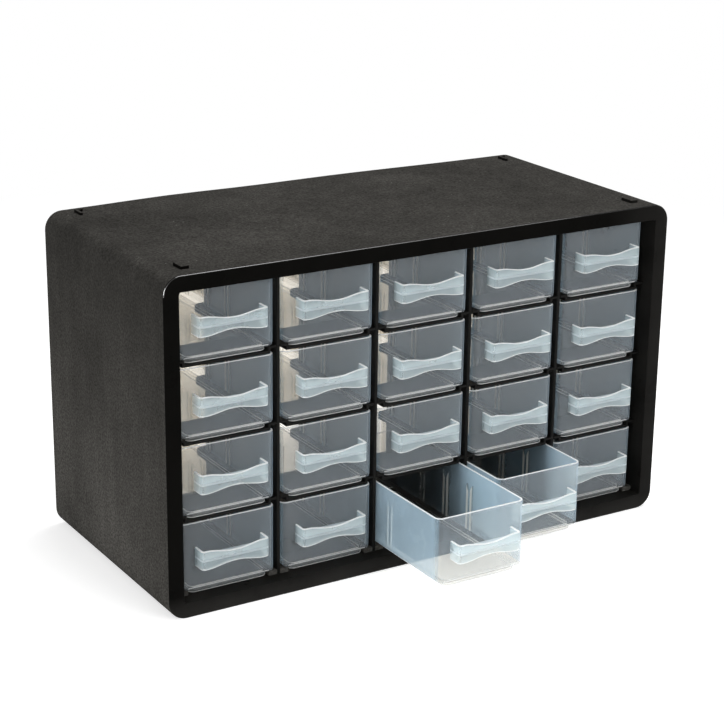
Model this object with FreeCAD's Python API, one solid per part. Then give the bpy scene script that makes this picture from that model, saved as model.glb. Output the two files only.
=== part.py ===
import FreeCAD, Part
import os

# Small parts cabinet: a black moulded casing with a rack of dividers and shelves,
# and five columns by four rows of clear drawers. Lengths in millimetres.
# X runs along the width, Y to the back, Z up. The origin is the middle of the underside.

# Layout
columns = 5
rows = 4
cabinet_depth = 180.0
overrun = 5.0

# Clear drawers
drawer_width = 68.0
drawer_length = 152.0
drawer_wall = 1.3
drawer_body_height = 45.2
drawer_corner_radius = 5.0
drawer_bottom_radius = 5.0
plinth_height = 2.5
plinth_inset = 5.8
plinth_corner_radius = 5.0
drawer_height = drawer_body_height + plinth_height

# Upright ribs inside a drawer that hold separator plates
slot_count = 3
first_slot_distance = 60.5
slot_pitch = 28.5
slot_gap = 2.2
slot_rib_width = 2.2
slot_rib_depth = 1.5
slot_rib_drop = 10.5
slot_lead_in = 5.0

# Bow-shaped drawer handle
handle_width = 48.0
handle_reach = 10.4
handle_thickness = 1.5
handle_end_height = 12.8
handle_waist_height = 7.9
handle_end_flat = 4.5
handle_waist_share = 0.36
handle_corner_radius = 2.5
handle_drop = 22.8
handle_web_thickness = 1.2

# Running clearances of a drawer in its cell
side_gap = 1.05
rim_gap = 1.0
plinth_gap = 0.8
seat_gap = 0.3

# Rack of dividers and shelves
divider_thickness = 2.4
shelf_thickness = 1.6
rack_depth = 100.0
pan_depth = 37.0
ledge_width = 6.0
ledge_tail = 4.0
ledge_tail_chamfer = 2.5
lap_share = 0.5
lap_gap = 0.15
divider_nose_radius = 0.8

# Moulded casing
bezel_width = 10.5
bezel_thickness = 3.0
bezel_edge_chamfer = 1.2
recess = 10.0
casing_wall = 2.5
casing_corner_radius = 12.0
opening_corner_radius = 1.5
end_margin = 0.25
collar_wall = 2.4
collar_rib_thickness = 1.8
collar_rib_depth = 60.0

# L-shaped stacking lugs on the top and their sockets in the underside
lug_side_inset = 17.7
lug_front_inset = 12.0
lug_back_inset = 9.0
lug_short_leg = 5.6
lug_long_leg = 11.0
lug_thickness = 1.6
lug_height = 2.0
lug_socket_gap = 0.5

# Drawers that stand open: name to the distance pulled out
open_distance = {(4, 3): 72.0, (4, 4): 36.5}

# Leg of a straight cut that touches the arc it stands for, and which corners have one
straight_cut_share = 2 - 2 ** 0.5
NO_CUTS = (False, False, False, False)
BACK_CUTS = (False, False, True, True)
ALL_CUTS = (True, True, True, True)

# Places that follow from the sizes
column_pitch = drawer_width + 2 * side_gap + divider_thickness
row_pitch = drawer_height + plinth_gap + shelf_thickness + rim_gap
opening_width = columns * column_pitch + 2 * end_margin
opening_height = rows * row_pitch - shelf_thickness
cabinet_width = opening_width + 2 * bezel_width
cabinet_height = opening_height + 2 * bezel_width
front_y = -cabinet_depth / 2
back_y = cabinet_depth / 2
drawer_front_y = front_y + recess
rack_back_y = drawer_front_y + rack_depth
lap_y = drawer_front_y + rack_depth * lap_share
floor_z = bezel_width
ceiling_z = floor_z + opening_height
ledge_rise = plinth_height + plinth_gap - seat_gap


def column_x(column):
    """Middle of a column, the first on the left."""
    return (column - (columns + 1) / 2) * column_pitch


def divider_x(number):
    """Middle of the divider on the right of a column."""
    return column_x(number) + column_pitch / 2


def rim_z(row):
    """Height of the drawer rims of a row, the first at the top."""
    return ceiling_z - rim_gap - (row - 1) * row_pitch


def pan_top_z(row):
    """Top of the shelf, or of the casing floor, under a row of drawers."""
    return rim_z(row) - drawer_height - plinth_gap


def box(x_range, y_range, z_range):
    """Plain block between two values on each axis."""
    size = [max(pair) - min(pair) for pair in (x_range, y_range, z_range)]
    corner = FreeCAD.Vector(min(x_range), min(y_range), min(z_range))
    return Part.makeBox(size[0], size[1], size[2], corner)


def face_of(points):
    """Flat face inside straight lines through the points."""
    return Part.Face(Part.makePolygon(points + points[:1]))


def cornered_face(a_range, b_range, radii, straight, place):
    """Face of a rectangle with a radius per corner, where a straight corner is cut to touch its arc."""
    low_a, high_a = a_range
    low_b, high_b = b_range
    corners = [
        (low_a, low_b, 1, 1),
        (high_a, low_b, -1, 1),
        (high_a, high_b, -1, -1),
        (low_a, high_b, 1, -1),
    ]
    stops = []
    bends = []
    for (a, b, inward_a, inward_b), radius, cut in zip(corners, radii, straight):
        leg = radius * straight_cut_share if cut else radius
        along_a = place(a + inward_a * leg, b)
        along_b = place(a, b + inward_b * leg)
        start, end = (along_b, along_a) if inward_a == inward_b else (along_a, along_b)
        stops.append((start, end))
        lean = radius * (1 - 0.5 ** 0.5)
        middle = place(a + inward_a * lean, b + inward_b * lean)
        if radius == 0:
            bends.append([])
        elif cut:
            bends.append([Part.makeLine(start, end)])
        else:
            bends.append([Part.Arc(start, middle, end).toShape()])
    edges = []
    for index, (start, end) in enumerate(stops):
        following = stops[(index + 1) % len(stops)][0]
        edges += bends[index] + [Part.makeLine(end, following)]
    return Part.Face(Part.Wire(edges))


def plan_prism(x_range, y_range, z_range, radii, straight=NO_CUTS):
    """Upright prism on a plan with corners: front left, front right, back right, back left."""
    face = cornered_face(x_range, y_range, radii, straight, lambda x, y: FreeCAD.Vector(x, y, z_range[0]))
    return face.extrude(FreeCAD.Vector(0, 0, z_range[1] - z_range[0]))


def front_prism(x_range, z_range, y_range, radii, straight=NO_CUTS):
    """Prism along Y on a front outline with corners: bottom left, bottom right, top right, top left."""
    face = cornered_face(x_range, z_range, radii, straight, lambda x, z: FreeCAD.Vector(x, y_range[0], z))
    return face.extrude(FreeCAD.Vector(0, y_range[1] - y_range[0], 0))


def mirrored(shape, middle_x=0.0):
    """Copy of a shape on the other side of an upright plane across X."""
    return shape.mirror(FreeCAD.Vector(middle_x, 0, 0), FreeCAD.Vector(1, 0, 0))


# Drawer, made with its front face on Y = 0, its middle on X = 0 and its plinth on Z = 0
def tub(shrink, top, plan_cuts, section_cuts):
    """Solid body and plinth of the drawer, drawn in by the same amount on every side and below."""
    half = drawer_width / 2 - shrink
    long_range = (shrink, drawer_length - shrink)
    bottom = plinth_height + shrink
    corner = drawer_corner_radius - shrink
    low = drawer_bottom_radius - shrink
    plan = plan_prism((-half, half), long_range, (bottom, top), [corner] * 4, plan_cuts)
    section_z = (bottom, top + overrun)
    section = front_prism((-half, half), section_z, long_range, [low, low, 0, 0], section_cuts)
    foot_half = half - plinth_inset
    foot_corner = plinth_corner_radius - shrink
    foot = plan_prism(
        (-foot_half, foot_half),
        (shrink, drawer_length - plinth_inset - shrink),
        (shrink, bottom + drawer_wall),
        [foot_corner, foot_corner, 0, 0],
        ALL_CUTS,
    )
    return plan.common(section).fuse(foot)


def slot_rib(slot_side_y, away):
    """Upright rib on the right-hand wall; away is -1 in front of its slot and 1 behind it."""
    inner_x = drawer_width / 2 - drawer_wall - slot_rib_depth
    outer_y = slot_side_y + away * slot_rib_width
    bottom = plinth_height + drawer_wall + (drawer_bottom_radius - drawer_wall) * straight_cut_share
    top = drawer_height - slot_rib_drop
    outline = [(slot_side_y, bottom), (outer_y, bottom), (outer_y, top), (slot_side_y, top - slot_lead_in)]
    face = face_of([FreeCAD.Vector(inner_x, y, z) for y, z in outline])
    return face.extrude(FreeCAD.Vector(slot_rib_depth + drawer_wall / 2, 0, 0))


def bow_outline():
    """Front outline of the handle: high flat ends whose slopes run into one arc at the waist."""
    end_x = handle_width / 2
    slope_end_x = end_x - handle_end_flat
    end_z = handle_end_height / 2
    waist_z = handle_waist_height / 2
    corner_x = slope_end_x * handle_waist_share
    slope = FreeCAD.Vector(slope_end_x - corner_x, 0, end_z - waist_z).normalize()

    def at(x, z):
        return FreeCAD.Vector(x, -handle_reach - overrun, z)

    edges = []
    for side in (1, -1):
        touch_x = corner_x + corner_x * slope.x
        touch_z = side * (waist_z + corner_x * slope.z)
        edges.append(Part.Arc(at(-touch_x, touch_z), at(0, side * waist_z), at(touch_x, touch_z)).toShape())
        for hand in (1, -1):
            shoulder = at(hand * slope_end_x, side * end_z)
            edges.append(Part.makeLine(at(hand * touch_x, touch_z), shoulder))
            edges.append(Part.makeLine(shoulder, at(hand * end_x, side * end_z)))
    for hand in (1, -1):
        edges.append(Part.makeLine(at(hand * end_x, end_z), at(hand * end_x, -end_z)))
    wire = Part.Wire(Part.__sortEdges__(edges))
    return Part.Face(wire)


def handle():
    """Bow strip with two end returns and a web at mid height, joined to the drawer front."""
    end_x = handle_width / 2
    half_height = handle_end_height / 2
    outer = plan_prism(
        (-end_x, end_x),
        (-handle_reach, drawer_wall / 2),
        (-half_height, half_height),
        [handle_corner_radius, handle_corner_radius, 0, 0],
        ALL_CUTS,
    )
    hollow = plan_prism(
        (handle_thickness - end_x, end_x - handle_thickness),
        (handle_thickness - handle_reach, overrun),
        (-half_height - overrun, half_height + overrun),
        [0, 0, 0, 0],
    )
    bow = bow_outline().extrude(FreeCAD.Vector(0, handle_reach + 2 * overrun, 0))
    web = box(
        (handle_thickness / 2 - end_x, end_x - handle_thickness / 2),
        (handle_thickness / 2 - handle_reach, drawer_wall / 2),
        (-handle_web_thickness / 2, handle_web_thickness / 2),
    )
    shape = outer.cut(hollow).common(bow).fuse(web)
    shape.translate(FreeCAD.Vector(0, 0, drawer_height - handle_drop))
    return shape


def drawer():
    """One clear drawer: thin tub with a stepped floor, slot ribs and handle."""
    outside = tub(0, drawer_height, BACK_CUTS, NO_CUTS)
    inside = tub(drawer_wall, drawer_height + overrun, ALL_CUTS, ALL_CUTS)
    ribs = []
    for number in range(slot_count):
        middle = first_slot_distance + number * slot_pitch
        for away in (-1, 1):
            rib = slot_rib(middle + away * slot_gap / 2, away)
            ribs.append(rib)
            ribs.append(mirrored(rib))
    shell = outside.cut(inside)
    inner_ribs = Part.makeCompound(ribs).common(outside)
    return shell.fuse(inner_ribs.Solids + [handle()]).removeSplitter().Solids[0]


# Divider, made on the plane X = 0
def divider():
    """Upright plate with a rounded nose, a tail slot per shelf and tongues into the collar."""
    half = divider_thickness / 2
    nose = [divider_nose_radius, divider_nose_radius, 0, 0]
    plate = plan_prism((-half, half), (drawer_front_y, rack_back_y), (floor_z, ceiling_z), nose, ALL_CUTS)
    tongue = box((-half, half), (lap_y, rack_back_y), (floor_z - collar_wall, ceiling_z + collar_wall))
    shape = plate.fuse(tongue)
    for row in range(1, rows):
        top = pan_top_z(row) + ledge_rise
        slot_z = (top - shelf_thickness - lap_gap, top + lap_gap)
        slot = box((-half, half), (lap_y - lap_gap, rack_back_y + overrun), slot_z)
        shape = shape.cut(slot)
    return shape.removeSplitter().Solids[0]


# Shelf, one column at a time
def ledge(middle_x, inner_side, top, bottom, tail_y):
    """Raised runner on one side of a column with its guide web; inner_side is 1 on the column's left."""
    foot_x = middle_x + inner_side * (divider_thickness / 2 + ledge_width)
    web_x = foot_x - inner_side * shelf_thickness
    plate = box((middle_x, foot_x), (drawer_front_y, tail_y), (top - shelf_thickness, top))
    web = box((web_x, foot_x), (drawer_front_y, tail_y), (bottom, top))
    corner = [
        FreeCAD.Vector(foot_x, tail_y, bottom),
        FreeCAD.Vector(foot_x - inner_side * ledge_tail_chamfer, tail_y, bottom),
        FreeCAD.Vector(foot_x, tail_y - ledge_tail_chamfer, bottom),
    ]
    return plate.fuse(web).cut(face_of(corner).extrude(FreeCAD.Vector(0, 0, top - bottom)))


def shelf(row):
    """Open runner frame between two rows: front pans between webs, and runners on each side."""
    pan_top = pan_top_z(row)
    bottom = pan_top - shelf_thickness
    top = pan_top + ledge_rise
    tail_y = rack_back_y + ledge_tail
    pieces = []
    for column in range(1, columns + 1):
        left = divider_x(column - 1)
        right = divider_x(column)
        inner = column_pitch / 2 - divider_thickness / 2 - ledge_width
        pan_x = (column_x(column) - inner, column_x(column) + inner)
        pieces.append(box(pan_x, (drawer_front_y, drawer_front_y + pan_depth), (bottom, pan_top)))
        pieces.append(ledge(left, 1, top, bottom, tail_y))
        pieces.append(ledge(right, -1, top, bottom, tail_y))
    shape = pieces[0].fuse(pieces[1:])
    for number in range(1, columns):
        half = divider_thickness / 2 + lap_gap
        slot_x = (divider_x(number) - half, divider_x(number) + half)
        slot_y = (drawer_front_y - overrun, lap_y + lap_gap)
        shape = shape.cut(box(slot_x, slot_y, (bottom - overrun, top + overrun)))
    reach = opening_width / 2
    for side in (-1, 1):
        end_x = divider_x(0) if side < 0 else divider_x(columns)
        tongue_x = (end_x, side * (reach + collar_wall))
        shape = shape.fuse(box(tongue_x, (lap_y + lap_gap, rack_back_y), (top - shelf_thickness, top)))
        front_x = (end_x, side * reach)
        shape = shape.fuse(box(front_x, (drawer_front_y, lap_y + lap_gap), (top - shelf_thickness, top)))
    return shape.removeSplitter().Solids[0]


# Casing
def lug(socket_gap, height):
    """L-shaped ridge with its vertex at the front left; a socket gap makes it larger all round."""
    long_leg = box(
        (-socket_gap, lug_thickness + socket_gap),
        (-socket_gap, lug_long_leg + socket_gap),
        (0, height),
    )
    short_leg = box(
        (-socket_gap, lug_short_leg + socket_gap),
        (-socket_gap, lug_thickness + socket_gap),
        (0, height),
    )
    return long_leg.fuse(short_leg).removeSplitter()


def lugs(socket_gap, height, base_z):
    """The four ridges, those at the back turned over front to back."""
    shapes = []
    for x in (lug_side_inset - cabinet_width / 2, cabinet_width / 2 - lug_side_inset - lug_short_leg):
        front = lug(socket_gap, height)
        front.translate(FreeCAD.Vector(x, front_y + lug_front_inset, base_z))
        back = lug(socket_gap, height).mirror(FreeCAD.Vector(0, 0, 0), FreeCAD.Vector(0, 1, 0))
        back.translate(FreeCAD.Vector(x, back_y - lug_back_inset, base_z))
        shapes += [front, back]
    return shapes


def casing_shell():
    """Outer box with a chamfered front edge, open at the back."""
    half = cabinet_width / 2
    outer = front_prism((-half, half), (0, cabinet_height), (front_y, back_y), [casing_corner_radius] * 4)
    front_edges = [edge for edge in outer.Edges if edge.BoundBox.YMax < front_y + bezel_edge_chamfer]
    outer = outer.makeChamfer(bezel_edge_chamfer, front_edges)
    inner_half = half - casing_wall
    hollow = front_prism(
        (-inner_half, inner_half),
        (casing_wall, cabinet_height - casing_wall),
        (front_y + bezel_thickness, back_y + overrun),
        [casing_corner_radius - casing_wall] * 4,
        ALL_CUTS,
    )
    return outer.cut(hollow)


def casing():
    """Shell, front bezel, collar that holds the rack, floor runners, lugs and sockets."""
    reach = opening_width / 2
    collar_radius = opening_corner_radius + collar_wall
    collar = front_prism(
        (-reach - collar_wall, reach + collar_wall),
        (floor_z - collar_wall, ceiling_z + collar_wall),
        (front_y + bezel_thickness / 2, rack_back_y),
        [collar_radius] * 4,
        ALL_CUTS,
    )
    opening = front_prism(
        (-reach, reach),
        (floor_z, ceiling_z),
        (front_y - overrun, rack_back_y + overrun),
        [opening_corner_radius] * 4,
    )
    rib_half = collar_rib_thickness / 2
    rib_y = (front_y + bezel_thickness / 2, front_y + collar_rib_depth)
    extras = []
    for number in range(1, columns):
        rib_x = (divider_x(number) - rib_half, divider_x(number) + rib_half)
        extras.append(box(rib_x, rib_y, (casing_wall / 2, floor_z - collar_wall / 2)))
        extras.append(box(rib_x, rib_y, (ceiling_z + collar_wall / 2, cabinet_height - casing_wall / 2)))
    for row in range(1, rows):
        middle_z = pan_top_z(row)
        rib_z = (middle_z - rib_half, middle_z + rib_half)
        for side in (-1, 1):
            rib_x = (side * (reach + collar_wall / 2), side * (cabinet_width / 2 - casing_wall / 2))
            extras.append(box(rib_x, rib_y, rib_z))
    extras += lugs(0, lug_height + casing_wall / 2, cabinet_height - casing_wall / 2)
    shape = casing_shell().fuse([collar] + extras).cut(opening)

    runner_z = (floor_z - collar_wall / 2, floor_z + ledge_rise)
    runners = []
    for column in range(1, columns + 1):
        for edge_x, side in ((divider_x(column - 1), 1), (divider_x(column), -1)):
            near_x = edge_x + side * divider_thickness / 2
            far_x = near_x + side * ledge_width
            at_end = (column, side) in ((1, 1), (columns, -1))
            if at_end:
                near_x = -side * (reach + collar_wall / 2)
            runners.append(box((near_x, far_x), (drawer_front_y, rack_back_y), runner_z))
    shape = shape.fuse(runners)

    cuts = lugs(lug_socket_gap, casing_wall + 2 * overrun, -2 * overrun)
    for number in range(1, columns):
        groove_half = divider_thickness / 2 + lap_gap
        groove_x = (divider_x(number) - groove_half, divider_x(number) + groove_half)
        groove_y = (lap_y - lap_gap, rack_back_y + overrun)
        cuts.append(box(groove_x, groove_y, (floor_z - collar_wall, floor_z)))
        cuts.append(box(groove_x, groove_y, (ceiling_z, ceiling_z + collar_wall)))
    for row in range(1, rows):
        top = pan_top_z(row) + ledge_rise
        for side in (-1, 1):
            groove_x = (side * reach, side * (reach + collar_wall))
            groove_z = (top - shelf_thickness - lap_gap, top + lap_gap)
            cuts.append(box(groove_x, (lap_y, rack_back_y + overrun), groove_z))
    return shape.cut(Part.makeCompound(cuts)).removeSplitter().Solids[0]


def export(shape, name):
    shape.exportStep(os.path.join("parts", name + ".step"))


def moved(shape, x, y, z):
    copy = shape.copy()
    copy.translate(FreeCAD.Vector(x, y, z))
    return copy


os.makedirs("parts", exist_ok=True)
export(casing(), "casing")
divider_shape = divider()
for number in range(1, columns):
    export(moved(divider_shape, divider_x(number), 0, 0), "divider_%d" % number)
for row in range(1, rows):
    export(shelf(row), "shelf_%d" % row)
drawer_shape = drawer()
for row in range(1, rows + 1):
    for column in range(1, columns + 1):
        front = drawer_front_y - open_distance.get((row, column), 0)
        place = moved(drawer_shape, column_x(column), front, rim_z(row) - drawer_height)
        export(place, "drawer_r%dc%d" % (row, column))
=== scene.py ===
import math

import bmesh
import bpy
from mathutils import Matrix, Vector


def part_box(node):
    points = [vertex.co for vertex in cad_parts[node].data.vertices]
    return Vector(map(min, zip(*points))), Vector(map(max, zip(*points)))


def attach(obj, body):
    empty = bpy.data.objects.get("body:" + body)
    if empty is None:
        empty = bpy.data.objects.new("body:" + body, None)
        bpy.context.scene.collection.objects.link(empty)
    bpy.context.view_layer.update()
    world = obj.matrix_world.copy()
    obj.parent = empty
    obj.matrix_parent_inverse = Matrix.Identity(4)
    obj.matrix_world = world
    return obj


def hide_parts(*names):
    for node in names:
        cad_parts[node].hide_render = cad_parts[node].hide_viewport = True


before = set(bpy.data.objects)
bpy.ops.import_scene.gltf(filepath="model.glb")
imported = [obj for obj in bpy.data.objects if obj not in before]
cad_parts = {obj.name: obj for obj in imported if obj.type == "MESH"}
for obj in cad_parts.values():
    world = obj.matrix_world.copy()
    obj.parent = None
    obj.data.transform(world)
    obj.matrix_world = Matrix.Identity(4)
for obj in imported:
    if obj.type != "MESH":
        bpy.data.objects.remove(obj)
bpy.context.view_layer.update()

# Small parts cabinet: black moulded casing, rack of dividers and shelves, twenty clear drawers.
# Lengths in metres. X runs along the width, Y to the back, Z up.

# Camera of the photograph
camera_place = Vector((-0.671046, -1.094641, 0.545290))
camera_yaw = 0.551076
camera_pitch = 0.324060
camera_roll = -0.012894
camera_lens = 97.25
camera_sensor = 36.0

# Clear drawers
drawer_wall = 0.0013
drawer_corner_radius = 0.005
drawer_bottom_radius = 0.005
plinth_height = 0.0025
plinth_inset = 0.0058
plinth_front_inset = 0.00015
rim_round = 0.0004
rim_line = rim_round * 1.2
foot_round = 0.0004
foot_line = foot_round * 1.6
corner_steps = 9
small_steps = 3

# Upright ribs that hold separator plates
slot_count = 3
first_slot_distance = 0.0605
slot_pitch = 0.0285
slot_gap = 0.0022
rib_width = 0.0022
rib_depth = 0.0015
rib_drop = 0.0105
rib_lead_in = 0.005
rib_round = 0.0006

# Bow-shaped handle
handle_width = 0.048
handle_reach = 0.0104
handle_thickness = 0.0015
handle_end_height = 0.0128
handle_waist_height = 0.0079
handle_end_flat = 0.0035
handle_waist_flat = 0.0015
handle_corner_radius = 0.0025
handle_edge_round = 0.0005
handle_drop = 0.0228
handle_web_thickness = 0.0012
handle_web_band = handle_web_thickness * 0.6
handle_steps = 44

# Limits between finishes: how far a face's normal leans to the axis named
strip_edge_lean_z = 0.2
rib_side_lean_y = 0.8
plinth_side_lean_z = 0.9
wall_side_lean_x = 0.7
wall_front_lean_z = 0.7
lug_side_lean_z = 0.5

# Casing
bezel_width = 0.0105
bezel_thickness = 0.003
front_edge_round = 0.001
opening_edge_round = 0.0005
back_edge_round = 0.0006
casing_wall = 0.0025
casing_corner_radius = 0.012
collar_wall = 0.0024
collar_rib_thickness = 0.0018
collar_rib_depth = 0.06
ledge_width = 0.006
divider_thickness = 0.0024
ledge_rise = 0.003
lap_gap = 0.00015
overrun = 0.002
width_steps = 14
height_steps = 6
depth_steps = 14
front_arc_steps = 6
polished_steps = (2, 3)

# Slight bulge of the top panel: its height, then the middle, spread and share of each swelling along X
bulge_height = 0.0013
swellings = ((-0.1, 0.055, 1.0), (0.03, 0.075, 0.8))

# Stacking lugs and their sockets
lug_side_inset = 0.0177
lug_front_inset = 0.012
lug_back_inset = 0.009
lug_short_leg = 0.0056
lug_long_leg = 0.011
lug_thickness = 0.0016
lug_height = 0.002
lug_socket_gap = 0.0005
lug_edge_round = 0.0003

# Rack of dividers and shelves
rack_edge_round = 0.00025
rack_edge_angle = math.radians(40)

# Mesh cleaning and shading
weld_distance = 1e-6
sharp_angle = math.radians(32)

# Looks
noise_low = 0.3
noise_high = 0.7
grain_dark = (0.012, 0.0116, 0.0107)
grain_light = (0.102, 0.0978, 0.09)
# Colour of the light specks on the casing grain, which are painted glints
painted_glint_speck = (0.2, 0.195, 0.185)
# Pale black of the painted light along the bezel's foot and right flank
painted_light_black = (0.018, 0.0172, 0.016)
passed_light = (0.985, 0.97, 0.943)

# Surroundings
pure_white = (1.0, 1.0, 1.0, 1.0)
floor_drop = 0.0002
floor_half = 8.0
floor_glow = 0.55
floor_fade_start = 0.45
floor_fade_end = 1.0
ambient_level = 0.33
ceiling_level = 0.2
lamp_target = (0.0, 0.0, 0.1)

# Places that follow from the frame
casing_low, casing_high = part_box("casing")
rack_low, rack_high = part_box("divider_1")
drawer_low, drawer_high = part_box("drawer_r1c1")
drawer_half = (drawer_high.x - drawer_low.x) / 2
drawer_height = drawer_high.z - drawer_low.z
drawer_length = drawer_high.y - drawer_low.y - handle_reach
well_line = plinth_height + drawer_wall - foot_line
cabinet_half = (casing_high.x - casing_low.x) / 2
cabinet_height = casing_high.z - lug_height
front_y = casing_low.y
back_y = casing_high.y
rack_back_y = rack_high.y
drawer_front_y = rack_low.y
opening_half = cabinet_half - bezel_width
ceiling_z = cabinet_height - bezel_width
drawer_names = sorted(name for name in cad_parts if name.startswith("drawer_"))
divider_names = sorted(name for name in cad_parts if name.startswith("divider_"))
shelf_names = sorted(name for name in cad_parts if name.startswith("shelf_"))

# Material slots of the drawer mesh, then of the casing mesh. In the drawer the side walls take a paler
# copy of the wall plastic as painted light, the rib noses and rib flanks take lit and shaded copies as
# painted highlight and painted shade, and the rim and the bright edge lines take near-white painted
# highlights.
WALL, FRONT, SIDE_LIT, PLINTH, RIB_LIT, RIB_SIDE_SHADE, STRIP, WEB, LINE_HIGHLIGHT, RIM_HIGHLIGHT = range(10)
SHELL, BEZEL, EDGE = range(3)


# Mesh helpers
def new_object(name, mesh):
    """Object with a mesh, linked to the scene."""
    made = bpy.data.objects.new(name, mesh)
    bpy.context.scene.collection.objects.link(made)
    return made


def object_from(name, builder):
    """Object from a bmesh, with its faces turned outward."""
    bmesh.ops.recalc_face_normals(builder, faces=builder.faces)
    mesh = bpy.data.meshes.new(name)
    builder.to_mesh(mesh)
    builder.free()
    return new_object(name, mesh)


def join_rings(builder, rings, around=False):
    """Quads between rings of equal point counts; around also joins the last ring to the first."""
    layers = [[builder.verts.new(point) for point in ring] for ring in rings]
    pairs = list(zip(layers, layers[1:]))
    if around:
        pairs.append((layers[-1], layers[0]))
    strips = []
    for lower, upper in pairs:
        count = len(lower)
        strip = []
        for index in range(count):
            after = (index + 1) % count
            strip.append(builder.faces.new((lower[index], lower[after], upper[after], upper[index])))
        strips.append(strip)
    return layers, strips


def loft(name, rings):
    """Closed solid through rings, capped at both ends."""
    builder = bmesh.new()
    layers, _ = join_rings(builder, rings)
    builder.faces.new(layers[0])
    builder.faces.new(layers[-1])
    return object_from(name, builder)


def block(builder, low, high):
    """Plain block between two corners, added to a bmesh."""
    low, high = Vector(map(min, low, high)), Vector(map(max, low, high))
    corners = [(low.x, low.y), (high.x, low.y), (high.x, high.y), (low.x, high.y)]
    layers, _ = join_rings(builder, [[(x, y, z) for x, y in corners] for z in (low.z, high.z)])
    builder.faces.new(layers[0])
    builder.faces.new(layers[1])


def combine(base, tool, operation):
    """Applies an exact Boolean to the base and removes the tool."""
    modifier = base.modifiers.new("combine", "BOOLEAN")
    modifier.object = tool
    modifier.operation = operation
    modifier.solver = "EXACT"
    graph = bpy.context.evaluated_depsgraph_get()
    mesh = bpy.data.meshes.new_from_object(base.evaluated_get(graph))
    base.modifiers.clear()
    base.data = mesh
    bpy.data.objects.remove(tool)
    return base


def tidy_mesh(mesh):
    """Welds close points, removes faces with no area and sets smooth shading with sharp edges."""
    builder = bmesh.new()
    builder.from_mesh(mesh)
    bmesh.ops.remove_doubles(builder, verts=builder.verts, dist=weld_distance)
    bmesh.ops.dissolve_degenerate(builder, edges=builder.edges, dist=weld_distance)
    builder.to_mesh(mesh)
    builder.free()
    mesh.shade_smooth()
    mesh.set_sharp_from_angle(angle=sharp_angle)


def weight_normals(piece):
    """Lets large faces lead the shading beside small roundings."""
    modifier = piece.modifiers.new("even shading", "WEIGHTED_NORMAL")
    modifier.keep_sharp = True


def arc(centre, radius, start, end, steps):
    """Points of an arc in a plane, angles in degrees."""
    points = []
    for step in range(steps + 1):
        angle = math.radians(start + (end - start) * step / steps)
        points.append((centre[0] + radius * math.cos(angle), centre[1] + radius * math.sin(angle)))
    return points


def smooth_share(value, start, end):
    """Runs softly from 0 at start to 1 at end."""
    share = min(max((value - start) / (end - start), 0.0), 1.0)
    return share * share * (3 - 2 * share)


# Drawer, made with its front on Y = 0, its middle on X = 0 and its plinth on Z = 0
def plan_ring(half, y_range, radius, z, limit=None):
    """Rounded rectangle in plan; a limit clips it at a narrower half width."""
    near, far = y_range
    points = []
    corners = [
        (half - radius, near + radius, 270),
        (half - radius, far - radius, 0),
        (radius - half, far - radius, 90),
        (radius - half, near + radius, 180),
    ]
    for x, y, start in corners:
        points += arc((x, y), radius, start, start + 90, corner_steps)
    if limit is not None:
        points = [(max(-limit, min(limit, x)), y) for x, y in points]
    return [(x, y, z) for x, y in points]


def tub_rings(shrink, top_rings):
    """Rings of the body from its underside up; shrink draws it in on every side and below."""
    half = drawer_half - shrink
    y_range = (shrink, drawer_length - shrink)
    radius = drawer_corner_radius - shrink
    low = drawer_bottom_radius - shrink
    bottom = plinth_height + shrink
    rings = []
    for step in range(corner_steps + 1):
        angle = math.radians(90 * step / corner_steps)
        limit = half - low + low * math.sin(angle)
        z = bottom + low * (1 - math.cos(angle))
        draw_in = foot_round * (1 - min(1, (z - bottom) / foot_round)) ** 2
        inset_range = (y_range[0] + draw_in, y_range[1] - draw_in)
        rings.append(plan_ring(half, inset_range, radius, z, limit))
    for offset, z in top_rings:
        inset_range = (y_range[0] + offset, y_range[1] - offset)
        rings.append(plan_ring(half - offset, inset_range, radius - offset, z))
    return rings


def foot_rings(shrink, line_z, top):
    """Rings of the plinth under the body, with one at the edge of its painted highlight line."""
    half = drawer_half - plinth_inset - shrink
    near = plinth_front_inset + shrink
    far = drawer_length - plinth_inset - shrink
    radius = drawer_corner_radius - shrink
    halfway = foot_round * 0.3
    stops = [(foot_round, shrink), (halfway, shrink + halfway), (0, shrink + foot_round), (0, line_z)]
    rings = []
    for offset, z in stops:
        rings.append(plan_ring(half - offset, (near + offset, far - offset), radius - offset, z))
    rings.append(plan_ring(half, (near, far), radius, top))
    return rings


def rib_bars():
    """Upright bars with slanted tops, in pairs beside each slot on both walls."""
    builder = bmesh.new()
    nose = drawer_half - drawer_wall - rib_depth
    root = drawer_half + overrun
    bottom = plinth_height
    top = drawer_height - rib_drop
    for number in range(slot_count):
        middle = first_slot_distance + number * slot_pitch
        for away in (-1, 1):
            slot_y = middle + away * slot_gap / 2
            outer_y = slot_y + away * rib_width
            near, far = min(slot_y, outer_y), max(slot_y, outer_y)
            for hand in (-1, 1):
                outline = arc((nose + rib_round, near + rib_round), rib_round, 270, 180, small_steps)
                outline += arc((nose + rib_round, far - rib_round), rib_round, 180, 90, small_steps)
                outline += [(root, far), (root, near)]
                lower = [(hand * x, y, bottom) for x, y in outline]
                upper = []
                for x, y in outline:
                    lean = abs(y - outer_y) / rib_width
                    upper.append((hand * x, y, top - rib_lead_in * lean))
                layers, _ = join_rings(builder, [lower, upper])
                builder.faces.new(layers[0])
                builder.faces.new(layers[1])
    return object_from("ribs", builder)


def handle_half_height(x):
    """Half the strip's height, lowest at the waist and running in an S to the flat ends."""
    share = smooth_share(abs(x), handle_waist_flat, handle_width / 2 - handle_end_flat)
    return (handle_waist_height + (handle_end_height - handle_waist_height) * share) / 2


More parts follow.
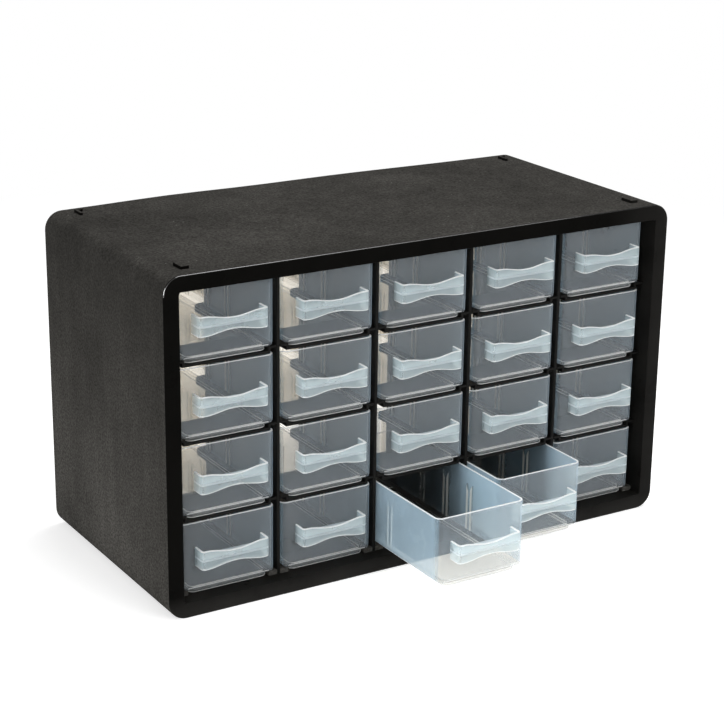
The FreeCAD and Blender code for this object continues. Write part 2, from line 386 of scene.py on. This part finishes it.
def handle_path():
    """Outer line of the strip in plan with its outward direction, from one end to the other."""
    end_x = handle_width / 2
    bend = handle_corner_radius
    stops = [((-end_x, drawer_wall / 2), (-1, 0)), ((-end_x, bend - handle_reach), (-1, 0))]
    for x, y in arc((bend - end_x, bend - handle_reach), bend, 180, 270, corner_steps)[1:]:
        outward = ((x - bend + end_x) / bend, (y - bend + handle_reach) / bend)
        stops.append(((x, y), outward))
    for step in range(1, handle_steps):
        x = (end_x - bend) * (2 * step / handle_steps - 1)
        stops.append(((x, -handle_reach), (0, -1)))
    mirrored = [((-x, y), (-a, b)) for (x, y), (a, b) in reversed(stops[: corner_steps + 2])]
    return stops + mirrored


def handle():
    """Bow strip with rounded edges and a web at mid height."""
    rings = []
    middle_z = drawer_height - handle_drop
    for (x, y), (out_x, out_y) in handle_path():
        tall = handle_half_height(x) - handle_edge_round
        deep = handle_thickness - handle_edge_round
        outer = -handle_edge_round
        section = []
        for quarter, centre in enumerate([(outer, tall), (-deep, tall), (-deep, -tall), (outer, -tall)]):
            start = 90 * quarter
            section += arc(centre, handle_edge_round, start, start + 90, small_steps)
        section += [(0, -handle_web_thickness / 2), (0, handle_web_thickness / 2)]
        rings.append([(x + out_x * a, y + out_y * a, middle_z + b) for a, b in section])
    strip = loft("handle", rings)
    builder = bmesh.new()
    reach = handle_width / 2 - handle_thickness / 2
    half = handle_web_thickness / 2
    web_y = (handle_thickness / 2 - handle_reach, drawer_wall / 2)
    block(builder, (-reach, web_y[0], middle_z - half), (reach, web_y[1], middle_z + half))
    return combine(strip, object_from("web", builder), "UNION")


def drawer_finish(centre, normal):
    """Material slot for a face of the drawer by where it lies."""
    slack = rim_round / 4
    # The rim takes a near-white painted highlight.
    if centre.z > drawer_height - rim_line:
        return RIM_HIGHLIGHT
    if centre.y < -slack:
        from_middle = abs(centre.z - drawer_height + handle_drop)
        if from_middle < handle_web_band:
            return WEB
        # The strip's upper and lower edges take a painted highlight.
        return LINE_HIGHLIGHT if abs(normal.z) > strip_edge_lean_z else STRIP
    inside = drawer_corner_radius < centre.y < drawer_length - drawer_corner_radius
    above_floor = centre.z > plinth_height + drawer_bottom_radius
    if inside and above_floor and abs(centre.x) < drawer_half - drawer_wall - slack:
        # Rib noses take a pale lit copy as painted highlight; rib flanks facing front and back take a
        # dark copy as painted shade.
        return RIB_SIDE_SHADE if abs(normal.y) > rib_side_lean_y else RIB_LIT
    on_plinth = abs(centre.x) < drawer_half - plinth_inset + slack
    if on_plinth and abs(normal.z) < plinth_side_lean_z:
        # Lines at the plinth's foot and at the well's edge take a painted highlight.
        if centre.z < foot_line or well_line < centre.z < plinth_height + drawer_wall:
            return LINE_HIGHLIGHT
        if centre.z < well_line:
            return PLINTH
    # Side walls take a paler copy of the wall plastic as painted light.
    if abs(normal.x) > wall_side_lean_x:
        return SIDE_LIT
    at_front = centre.y < drawer_corner_radius and abs(normal.z) < wall_front_lean_z
    return FRONT if at_front else WALL


def rim_stops(way):
    """Offset and height of each ring up the rounded rim; way is 1 outside and -1 inside."""
    stops = [(0, drawer_height - rim_round)]
    for step in range(1, small_steps + 1):
        angle = math.radians(90 * step / small_steps)
        drop = rim_round * (1 - math.sin(angle))
        draw_in = rim_round * (1 - math.cos(angle))
        stops.append((way * draw_in, drawer_height - drop))
    return stops


def drawer_mesh():
    """Clear drawer: tub with a stepped floor, ribs cut out of the cavity, and a handle."""
    through_top = (-rim_round, drawer_height + overrun)
    body = loft("drawer", tub_rings(0, rim_stops(1)))
    foot = loft("foot", foot_rings(0, foot_line, plinth_height + drawer_wall / 2))
    cavity = loft("cavity", tub_rings(drawer_wall, rim_stops(-1) + [through_top]))
    well = loft("well", foot_rings(drawer_wall, well_line, plinth_height + drawer_wall * 1.5))
    cavity = combine(cavity, rib_bars(), "DIFFERENCE")
    body = combine(body, foot, "UNION")
    body = combine(body, cavity, "DIFFERENCE")
    body = combine(body, well, "DIFFERENCE")
    body = combine(body, handle(), "UNION")
    mesh = body.data
    bpy.data.objects.remove(body)
    tidy_mesh(mesh)
    for face in mesh.polygons:
        face.material_index = drawer_finish(face.center, face.normal)
    return mesh


# Casing
def bulge(x, y, z):
    """Rise of the top panel towards the back, as a large thin moulding has."""
    top = smooth_share(z, cabinet_height - casing_corner_radius, cabinet_height)
    back = smooth_share(y, front_y, back_y)
    swell = sum(share * math.exp(-(((x - middle) / spread) ** 2)) for middle, spread, share in swellings)
    return bulge_height * top * back * swell


def front_ring(inset, y, soft):
    """Rounded rectangle in elevation, drawn in from the outer face; soft adds the bulge."""
    half = cabinet_half - inset
    low, high = inset, cabinet_height - inset
    radius = casing_corner_radius - inset
    corners = [
        (half - radius, high - radius, 0, width_steps),
        (radius - half, high - radius, 90, height_steps),
        (radius - half, low + radius, 180, width_steps),
        (half - radius, low + radius, 270, height_steps),
    ]
    points = []
    for index, (x, z, start, side_steps) in enumerate(corners):
        points += arc((x, z), radius, start, start + 90, corner_steps)
        after = corners[(index + 1) % 4]
        turn = math.radians(start + 90)
        here = points[-1]
        run = after[0] + radius * math.cos(turn) - here[0]
        rise = after[1] + radius * math.sin(turn) - here[1]
        for step in range(1, side_steps):
            share = step / side_steps
            points.append((here[0] + run * share, here[1] + rise * share))
    if not soft:
        return [(x, y, z) for x, z in points]
    return [(x, y, z + bulge(x, y, z)) for x, z in points]


def casing_profile():
    """Stations once round the wall: inset, Y, whether the bulge applies, and the finish that follows."""
    back = back_edge_round
    turn = front_edge_round
    inner = opening_edge_round
    behind_bezel = front_y + bezel_thickness
    stations = []
    for inset, y in arc((back, back_y - back), back, 90, 180, small_steps):
        stations.append((inset, y, True, SHELL))
    for step in range(1, depth_steps):
        y = back_y - back + (front_y + turn - back_y + back) * step / depth_steps
        stations.append((0, y, True, SHELL))
    for step, (inset, y) in enumerate(arc((turn, front_y + turn), turn, 180, 270, front_arc_steps)):
        stations.append((inset, y, True, EDGE if step in polished_steps else BEZEL))
    for inset, y in arc((bezel_width - inner, front_y + inner), inner, 270, 360, small_steps):
        stations.append((inset, y, False, BEZEL))
    stations.append((bezel_width, rack_back_y, False, BEZEL))
    stations.append((bezel_width - collar_wall, rack_back_y, False, BEZEL))
    stations.append((bezel_width - collar_wall, behind_bezel, False, BEZEL))
    stations.append((casing_wall, behind_bezel, True, SHELL))
    for step in range(1, depth_steps):
        y = behind_bezel + (back_y - behind_bezel - back) * step / depth_steps
        stations.append((casing_wall, y, True, SHELL))
    for inset, y in arc((casing_wall - back, back_y - back), back, 0, 90, small_steps):
        stations.append((inset, y, True, SHELL))
    return stations


def casing_wall_object():
    """Closed wall of the casing: shell, bezel and collar in one."""
    stations = casing_profile()
    builder = bmesh.new()
    rings = [front_ring(inset, y, soft) for inset, y, soft, _ in stations]
    _, strips = join_rings(builder, rings, around=True)
    for strip, (_, _, _, finish) in zip(strips, stations):
        for face in strip:
            face.material_index = finish
    return object_from("casing_body", builder)


def lug_places():
    """Corner of each lug and the way its long leg runs along Y."""
    for x in (lug_side_inset - cabinet_half, cabinet_half - lug_side_inset - lug_short_leg):
        yield x, front_y + lug_front_inset, 1
        yield x, back_y - lug_back_inset, -1


def lug_bars(gap, z_range, edge_round):
    """L-shaped ridges, or the cutters for their sockets where a gap widens them."""
    builder = bmesh.new()
    for x, y, way in lug_places():
        outline = [
            (-gap, -gap),
            (lug_short_leg + gap, -gap),
            (lug_short_leg + gap, lug_thickness + gap),
            (lug_thickness + gap, lug_thickness + gap),
            (lug_thickness + gap, lug_long_leg + gap),
            (-gap, lug_long_leg + gap),
        ]
        rings = [[(x + a, y + way * b, z) for a, b in outline] for z in z_range]
        layers, _ = join_rings(builder, rings)
        builder.faces.new(layers[0])
        builder.faces.new(layers[1])
    if edge_round:
        bmesh.ops.bevel(
            builder,
            geom=builder.edges[:],
            offset=edge_round,
            segments=small_steps,
            affect="EDGES",
            profile=0.5,
        )
    return object_from("lugs", builder)


def divider_places():
    """Middle of each divider, the casing's own sides included."""
    middles = [sum((corner.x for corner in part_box(name))) / 2 for name in divider_names]
    pitch = (middles[-1] - middles[0]) / (len(middles) - 1)
    return [middles[0] - pitch, *middles, middles[-1] + pitch]


def shelf_tops():
    """Height of each shelf's upper face."""
    return sorted(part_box(name)[1].z for name in shelf_names)


def casing_ribs():
    """Ribs between collar and shell."""
    builder = bmesh.new()
    half = collar_rib_thickness / 2
    near = front_y + bezel_thickness / 2
    far = front_y + collar_rib_depth
    outer = casing_wall / 2
    inner = bezel_width - collar_wall / 2
    for x in divider_places()[1:-1]:
        for low_z, high_z in ((outer, inner), (cabinet_height - inner, cabinet_height - outer)):
            block(builder, (x - half, near, low_z), (x + half, far, high_z))
    for top in shelf_tops():
        z = top - ledge_rise
        for side in (-1, 1):
            inner_x = side * (cabinet_half - inner)
            outer_x = side * (cabinet_half - outer)
            block(builder, (inner_x, near, z - half), (outer_x, far, z + half))
    return object_from("casing_ribs", builder)


def floor_runners():
    """Runners under the lowest drawers."""
    builder = bmesh.new()
    places = divider_places()
    low = bezel_width - collar_wall / 2
    high = bezel_width + ledge_rise
    for left, right in zip(places, places[1:]):
        for edge, side in ((left, 1), (right, -1)):
            near = edge + side * divider_thickness / 2
            if edge in (places[0], places[-1]):
                near = -side * (opening_half + collar_wall / 2)
            far = edge + side * (divider_thickness / 2 + ledge_width)
            block(builder, (near, drawer_front_y, low), (far, rack_back_y - lap_gap, high))
    return object_from("floor_runners", builder)


def collar_grooves():
    """Cutters for the grooves that take the rack's tongues."""
    builder = bmesh.new()
    near = (drawer_front_y + rack_back_y) / 2 - lap_gap
    far = rack_back_y + overrun
    half = divider_thickness / 2 + lap_gap
    floor_range = (bezel_width - collar_wall, bezel_width + lap_gap)
    ceiling_range = (ceiling_z - lap_gap, ceiling_z + collar_wall)
    for x in divider_places()[1:-1]:
        for low_z, high_z in (floor_range, ceiling_range):
            block(builder, (x - half, near, low_z), (x + half, far, high_z))
    return object_from("grooves", builder)


def casing():
    """Casing with its ribs, runners, grooves, lugs and sockets, and a finish on every face."""
    lug_range = (cabinet_height - casing_wall / 2, cabinet_height + lug_height)
    socket_range = (-overrun, casing_wall + overrun)
    body = casing_wall_object()
    body = combine(body, casing_ribs(), "UNION")
    body = combine(body, floor_runners(), "UNION")
    body = combine(body, collar_grooves(), "DIFFERENCE")
    body = combine(body, lug_bars(0, lug_range, lug_edge_round), "UNION")
    body = combine(body, lug_bars(lug_socket_gap, socket_range, 0), "DIFFERENCE")
    tidy_mesh(body.data)
    for face in body.data.polygons:
        centre = face.center
        below_top = centre.z < cabinet_height - casing_corner_radius
        panel = cabinet_height + bulge(centre.x, centre.y, cabinet_height)
        # Lug sides take the darker smooth black as painted shade, so the lugs show as dark marks.
        lug_side_painted_shade = centre.z > panel + lug_edge_round / 2 and abs(face.normal.z) < lug_side_lean_z
        if lug_side_painted_shade or (face.material_index == EDGE and below_top):
            face.material_index = BEZEL
    return body


# Node helpers
def add_node(tree, kind, inputs=None, **settings):
    """Node with its settings, and its inputs set to values or linked to sockets."""
    made = tree.nodes.new(kind)
    for name, value in settings.items():
        setattr(made, name, value)
    for name, value in (inputs or {}).items():
        if isinstance(value, bpy.types.NodeSocket):
            tree.links.new(value, made.inputs[name])
        else:
            made.inputs[name].default_value = value
    return made


def new_material(name):
    """Material with an empty node tree."""
    material = bpy.data.materials.new(name)
    material.use_nodes = True
    material.node_tree.nodes.clear()
    return material, material.node_tree


def place_of(tree):
    """Place of the shaded point on its own piece, in metres."""
    return add_node(tree, "ShaderNodeTexCoord").outputs["Object"]


def parts_of(tree, vector):
    """X, Y and Z of a vector socket."""
    return add_node(tree, "ShaderNodeSeparateXYZ", {"Vector": vector}).outputs


def noise(tree, place, scale, detail=3.0, roughness=0.5):
    """Noise between 0 and 1."""
    inputs = {"Vector": place, "Scale": scale, "Detail": detail, "Roughness": roughness}
    return add_node(tree, "ShaderNodeTexNoise", inputs).outputs["Fac"]


def ramp(tree, value, start, end, low, high):
    """Value that runs from low to high while another runs from start to end."""
    inputs = {"Value": value, "From Min": start, "From Max": end, "To Min": low, "To Max": high}
    return add_node(tree, "ShaderNodeMapRange", inputs).outputs["Result"]


def vary(tree, pattern, low, high):
    """Runs the usual range of a noise pattern between two values."""
    return ramp(tree, pattern, noise_low, noise_high, low, high)


def math_node(tree, operation, first, second):
    """Result of an operation on two values or sockets."""
    return add_node(tree, "ShaderNodeMath", {0: first, 1: second}, operation=operation).outputs[0]


def product(tree, first, *others):
    """Product of any number of values or sockets."""
    for other in others:
        first = math_node(tree, "MULTIPLY", first, other)
    return first


def mix_colour(tree, share, first, second):
    """Mixes two colours, each a plain colour or a colour socket."""
    made = add_node(tree, "ShaderNodeMix", data_type="RGBA")
    tree.links.new(share, made.inputs["Factor"])
    sockets = [socket for socket in made.inputs if socket.type == "RGBA"]
    for socket, colour in zip(sockets, (first, second)):
        if isinstance(colour, bpy.types.NodeSocket):
            tree.links.new(colour, socket)
        else:
            socket.default_value = (*colour, 1.0)
    return next(socket for socket in made.outputs if socket.type == "RGBA")


def mix_shader(tree, share, first, second):
    """Runs from the first shader to the second with the share."""
    return add_node(tree, "ShaderNodeMixShader", {0: share, 1: first, 2: second}).outputs[0]


def bump(tree, height, strength, distance, before=None):
    """Normal with a height laid over it, on top of an earlier bump where there is one."""
    inputs = {"Height": height, "Strength": strength, "Distance": distance}
    if before is not None:
        inputs["Normal"] = before
    return add_node(tree, "ShaderNodeBump", inputs).outputs["Normal"]


def finish_material(tree, shader):
    """Sends a shader to the material's output."""
    add_node(tree, "ShaderNodeOutputMaterial", {"Surface": shader})


def grained_black():
    """Grained black plastic, clouded, with painted shade that leaves it paler low on the flanks and on
    top and darker high on the flanks and on the rounded edges; its light specks are painted glints.
    """
    material, tree = new_material("casing_grain")
    place = place_of(tree)
    cloud = noise(tree, place, 14.0, 5.0, 0.6)
    grain = noise(tree, place, 640.0, 6.0, 0.75)
    coarse = noise(tree, place, 240.0, 3.0, 0.7)
    stretched = add_node(tree, "ShaderNodeMapping", {"Vector": place, "Scale": (1.0, 1.0, 0.12)})
    streak = noise(tree, stretched.outputs[0], 90.0, 3.0, 0.6)
    level = parts_of(tree, place)["Z"]
    outward = add_node(tree, "ShaderNodeNewGeometry").outputs["Normal"]
    upward = parts_of(tree, outward)["Z"]
    # Painted shade: the flanks darken towards the top and the rounded edges darken against the paler top
    # face; streaks vary it.
    flank_painted_shade = ramp(tree, level, 0.02, 0.21, 1.15, 0.55)
    top_painted_shade = ramp(tree, upward, 0.5, 0.95, 0.45, 0.86)
    painted_shade_and_streaks = math_node(tree, "MAXIMUM", flank_painted_shade, top_painted_shade)
    painted_shade_and_streaks = product(tree, painted_shade_and_streaks, vary(tree, streak, 0.85, 1.1))
    # Painted glints: rare light specks in patches, standing in for glossy micro reflections of the grain.
    cells = add_node(tree, "ShaderNodeTexVoronoi", {"Vector": place, "Scale": 420.0})
    speck = ramp(tree, cells.outputs["Distance"], 0.24, 0.12, 0.0, 1.0)
    lot = add_node(tree, "ShaderNodeSeparateColor", {"Color": cells.outputs["Color"]}).outputs[0]
    rare = ramp(tree, lot, 0.95, 0.97, 0.0, 1.0)
    patch = ramp(tree, noise(tree, place, 30.0, 3.0), 0.45, 0.62, 0.25, 1.0)
    painted_glints = product(tree, speck, rare, patch, 0.9)
    clouded = vary(tree, cloud, 0.55, 1.0)
    mottle_and_painted_shade = product(tree, clouded, ramp(tree, grain, 0.4, 0.6, 0.35, 0.95), painted_shade_and_streaks)
    colour = mix_colour(tree, painted_glints, mix_colour(tree, mottle_and_painted_shade, grain_dark, grain_light), painted_glint_speck)
    normal = bump(tree, coarse, 0.6, 0.0009)
    normal = bump(tree, grain, 0.9, 0.0008, normal)
    shader = add_node(
        tree,
        "ShaderNodeBsdfPrincipled",
        {
            "Base Color": colour,
            "Roughness": vary(tree, grain, 0.42, 0.62),
            "Specular IOR Level": 0.0,
            "Normal": normal,
        },
    )
    finish_material(tree, shader.outputs[0])
    return material


def smooth_black(name, low, high, roughness, specular, polished=False, painted_light=False):
    """Smooth black plastic with flow marks; polished adds a gloss that fades to the right, the
    painted light flag makes it paler along the foot and the right flank as painted light."""
    material, tree = new_material(name)
    place = place_of(tree)
    parts = parts_of(tree, place)
    haze = noise(tree, place, 35.0, 5.0, 0.65)
    fine = noise(tree, place, 600.0, 2.0, 0.5)
    colour = mix_colour(tree, vary(tree, haze, 0.0, 1.0), low, high)
    if painted_light:
        # Painted light: paler towards the foot and the right flank, varied by the flow marks.
        foot = ramp(tree, parts["Z"], 0.004, 0.016, 1.0, 0.0)
        flank = ramp(tree, parts["X"], 0.14, 0.19, 0.0, 0.6)
        painted_light_share = product(tree, math_node(tree, "MAXIMUM", foot, flank), vary(tree, haze, 0.7, 1.1))
        colour = mix_colour(tree, painted_light_share, colour, painted_light_black)
    shader = add_node(
        tree,
        "ShaderNodeBsdfPrincipled",
        {
            "Base Color": colour,
            "Roughness": vary(tree, haze, roughness - 0.05, roughness + 0.07),
            "Specular IOR Level": specular,
            "Coat Weight": ramp(tree, parts["X"], -0.16, 0.0, 1.0, 0.3) if polished else 0.0,
            "Coat Roughness": 0.1,
            "Coat IOR": 2.2,
            "Normal": bump(tree, fine, 0.12, 0.0001),
        },
    )
    finish_material(tree, shader.outputs[0])
    return material


def clear_plastic(name, share, slant_share, haze, roughness):
    """Milky clear plastic, warm in the light it passes, cool in its haze and clearer towards the back."""
    material, tree = new_material(name)
    place = place_of(tree)
    cloud = noise(tree, place, 45.0, 4.0, 0.6)
    fine = noise(tree, place, 900.0, 2.0, 0.6)
    flow = noise(tree, place, 90.0, 2.0, 0.5)
    low = tuple(channel * 0.92 for channel in haze)
    normal = bump(tree, flow, 0.05, 0.0004)
    normal = bump(tree, fine, 0.04, 0.0001, normal)
    surface = add_node(
        tree,
        "ShaderNodeBsdfPrincipled",
        {
            "Base Color": mix_colour(tree, vary(tree, cloud, 0.0, 1.0), low, haze),
            "Roughness": vary(tree, cloud, roughness - 0.04, roughness + 0.06),
            "Specular IOR Level": 0.5,
            "Coat Weight": 0.25,
            "Coat Roughness": 0.08,
            "Normal": normal,
        },
    )
    through = add_node(tree, "ShaderNodeBsdfTransparent", {"Color": (*passed_light, 1.0)})
    facing = add_node(tree, "ShaderNodeLayerWeight", {"Blend": 0.35, "Normal": normal}).outputs["Facing"]
    milk = ramp(tree, facing, 0.0, 1.0, share, share + slant_share)
    clouded = vary(tree, cloud, 0.95, 1.05)
    length = parts_of(tree, place)["Y"]
    depth = product(tree, milk, clouded, ramp(tree, length, 0.08, 0.105, 1.0, 0.35))
    depth = math_node(tree, "MINIMUM", depth, 0.95)
    glow = add_node(tree, "ShaderNodeBsdfTranslucent", {"Color": (*haze, 1.0), "Normal": normal})
    milky = mix_shader(tree, 0.55, surface.outputs[0], glow.outputs[0])
    finish_material(tree, mix_shader(tree, depth, through.outputs[0], milky))
    return material


# Surroundings
def seen_rays(tree):
    """1 for rays that show the background: camera, glossy and transmission."""
    path = add_node(tree, "ShaderNodeLightPath").outputs
    seen = math_node(tree, "MAXIMUM", path["Is Camera Ray"], path["Is Glossy Ray"])
    return math_node(tree, "MAXIMUM", seen, path["Is Transmission Ray"])


def make_world():
    """Soft even light, with a white background and a duller ceiling in reflections."""
    world = bpy.data.worlds.new("studio")
    bpy.context.scene.world = world
    world.use_nodes = True
    tree = world.node_tree
    tree.nodes.clear()
    direction = add_node(tree, "ShaderNodeTexCoord").outputs["Generated"]
    rise = parts_of(tree, direction)["Z"]
    path = add_node(tree, "ShaderNodeLightPath").outputs
    ceiling = product(tree, ramp(tree, rise, 0.35, 0.6, 0.0, 1.0), path["Is Glossy Ray"])
    shown = ramp(tree, ceiling, 0.0, 1.0, 1.0, ceiling_level)
    ambient = add_node(tree, "ShaderNodeBackground", {"Color": pure_white, "Strength": ambient_level})
    backdrop = add_node(tree, "ShaderNodeBackground", {"Color": pure_white, "Strength": shown})
    both = mix_shader(tree, seen_rays(tree), ambient.outputs[0], backdrop.outputs[0])
    add_node(tree, "ShaderNodeOutputWorld", {"Surface": both})


def make_floor():
    """Pale floor that shows almost white, keeps a soft shadow and turns white with distance."""
    builder = bmesh.new()
    corners = [(floor_half * x, floor_half * y) for x, y in ((-1, -1), (1, -1), (1, 1), (-1, 1))]
    builder.faces.new([builder.verts.new((x, y, -floor_drop)) for x, y in corners])
    floor = object_from("floor", builder)
    material, tree = new_material("floor")
    seen = seen_rays(tree)
    matte = add_node(tree, "ShaderNodeBsdfDiffuse", {"Color": (0.8, 0.8, 0.8, 1.0)})
    lift = product(tree, seen, floor_glow)
    light = add_node(tree, "ShaderNodeEmission", {"Color": pure_white, "Strength": lift})
    near = add_node(tree, "ShaderNodeAddShader")
    tree.links.new(matte.outputs[0], near.inputs[0])
    tree.links.new(light.outputs[0], near.inputs[1])
    backdrop = ramp(tree, seen, 0.0, 1.0, 0.5, 1.0)
    far = add_node(tree, "ShaderNodeEmission", {"Color": pure_white, "Strength": backdrop})
    distance = add_node(tree, "ShaderNodeVectorMath", {0: place_of(tree)}, operation="LENGTH")
    away = ramp(tree, distance.outputs["Value"], floor_fade_start, floor_fade_end, 0.0, 1.0)
    finish_material(tree, mix_shader(tree, away, near.outputs[0], far.outputs[0]))
    floor.data.materials.append(material)


def soft_lamp(name, place, size, watts):
    """Square area lamp that faces the cabinet."""
    lamp = bpy.data.lights.new(name, "AREA")
    lamp.shape = "SQUARE"
    lamp.size = size
    lamp.energy = watts
    made = bpy.data.objects.new(name, lamp)
    made.location = place
    made.rotation_euler = (Vector(lamp_target) - Vector(place)).to_track_quat("-Z", "Y").to_euler()
    bpy.context.scene.collection.objects.link(made)


def make_camera():
    """Camera of the photograph, from its place, yaw, pitch, roll and lens."""
    flat = math.cos(camera_pitch)
    ahead = Vector((math.sin(camera_yaw) * flat, math.cos(camera_yaw) * flat, -math.sin(camera_pitch)))
    level = Vector((math.cos(camera_yaw), -math.sin(camera_yaw), 0))
    down = ahead.cross(level)
    right = level * math.cos(camera_roll) + down * math.sin(camera_roll)
    down = down * math.cos(camera_roll) - level * math.sin(camera_roll)
    lens = bpy.data.cameras.new("camera")
    lens.lens = camera_lens
    lens.sensor_width = camera_sensor
    lens.clip_start = 0.01
    lens.clip_end = 50.0
    camera = bpy.data.objects.new("camera", lens)
    turn = Matrix((right, -down, -ahead)).transposed()
    camera.matrix_world = Matrix.Translation(camera_place) @ turn.to_4x4()
    bpy.context.scene.collection.objects.link(camera)
    bpy.context.scene.camera = camera


# Materials
grain = grained_black()
# The bezel carries painted light, paler along its foot and right flank.
bezel_black = smooth_black(
    "casing_smooth",
    low=(0.0016, 0.0015, 0.0012),
    high=(0.0028, 0.0026, 0.0022),
    roughness=0.3,
    specular=0.02,
    painted_light=True,
)
edge_black = smooth_black(
    "casing_edge",
    low=(0.004, 0.004, 0.0035),
    high=(0.006, 0.006, 0.0055),
    roughness=0.2,
    specular=0.3,
    polished=True,
)
rack_black = smooth_black(
    "rack_smooth",
    low=(0.0055, 0.0054, 0.005),
    high=(0.0085, 0.0083, 0.0078),
    roughness=0.38,
    specular=0.05,
)
# Clear plastic finishes: some are paler or darker copies of one plastic, as painted light and shade, and
# some are near-white painted highlights.
drawer_materials = [
    clear_plastic("clear_wall", share=0.06, slant_share=0.28, haze=(0.42, 0.48, 0.53), roughness=0.25),
    clear_plastic("clear_front", share=0.12, slant_share=0.33, haze=(0.75, 0.84, 0.93), roughness=0.25),
    clear_plastic("clear_side_lit", share=0.2, slant_share=0.43, haze=(0.6, 0.79, 0.94), roughness=0.25),
    clear_plastic("clear_plinth", share=0.17, slant_share=0.3, haze=(0.75, 0.8, 0.82), roughness=0.22),
    clear_plastic("clear_rib_lit", share=0.7, slant_share=0.2, haze=(1.0, 0.97, 0.91), roughness=0.24),
    clear_plastic("clear_rib_side_shade", share=0.3, slant_share=0.2, haze=(0.3, 0.38, 0.44), roughness=0.24),
    clear_plastic("clear_strip", share=0.24, slant_share=0.3, haze=(0.8, 0.94, 1.0), roughness=0.22),
    clear_plastic("clear_web", share=0.56, slant_share=0.25, haze=(0.86, 0.94, 0.99), roughness=0.22),
    clear_plastic("clear_line_highlight", share=0.85, slant_share=0.1, haze=(1.0, 1.0, 1.0), roughness=0.2),
    clear_plastic("clear_rim_highlight", share=0.92, slant_share=0.05, haze=(1.0, 1.0, 1.0), roughness=0.2),
]

# Casing
casing_piece = casing()
for material in (grain, bezel_black, edge_black):
    casing_piece.data.materials.append(material)
weight_normals(casing_piece)
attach(casing_piece, "cabinet")
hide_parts("casing")

# Rack: the frame's own nodes with softened edges
for name in divider_names + shelf_names:
    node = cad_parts[name]
    node.data.materials.clear()
    node.data.materials.append(rack_black)
    weld = node.modifiers.new("weld", "WELD")
    weld.merge_threshold = weld_distance
    soften = node.modifiers.new("soften", "BEVEL")
    soften.width = rack_edge_round
    soften.segments = 2
    soften.limit_method = "ANGLE"
    soften.angle_limit = rack_edge_angle

# Drawers
shared_drawer = drawer_mesh()
for material in drawer_materials:
    shared_drawer.materials.append(material)
for name in drawer_names:
    low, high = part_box(name)
    piece = new_object("clear_" + name, shared_drawer)
    piece.location = ((low.x + high.x) / 2, low.y + handle_reach, low.z)
    weight_normals(piece)
    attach(piece, name + "_body")
    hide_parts(name)

# Surroundings, in place
make_floor()
make_world()
soft_lamp("overhead", place=(0.45, 0.0, 1.6), size=1.2, watts=16.0)
soft_lamp("left", place=(-1.5, -0.35, 0.4), size=0.7, watts=13.0)
soft_lamp("front", place=(0.4, -1.8, 0.8), size=1.2, watts=22.0)
make_camera()

scene = bpy.context.scene
scene.view_settings.view_transform = "Standard"
scene.cycles.transparent_max_bounces = 64
scene.cycles.max_bounces = 16
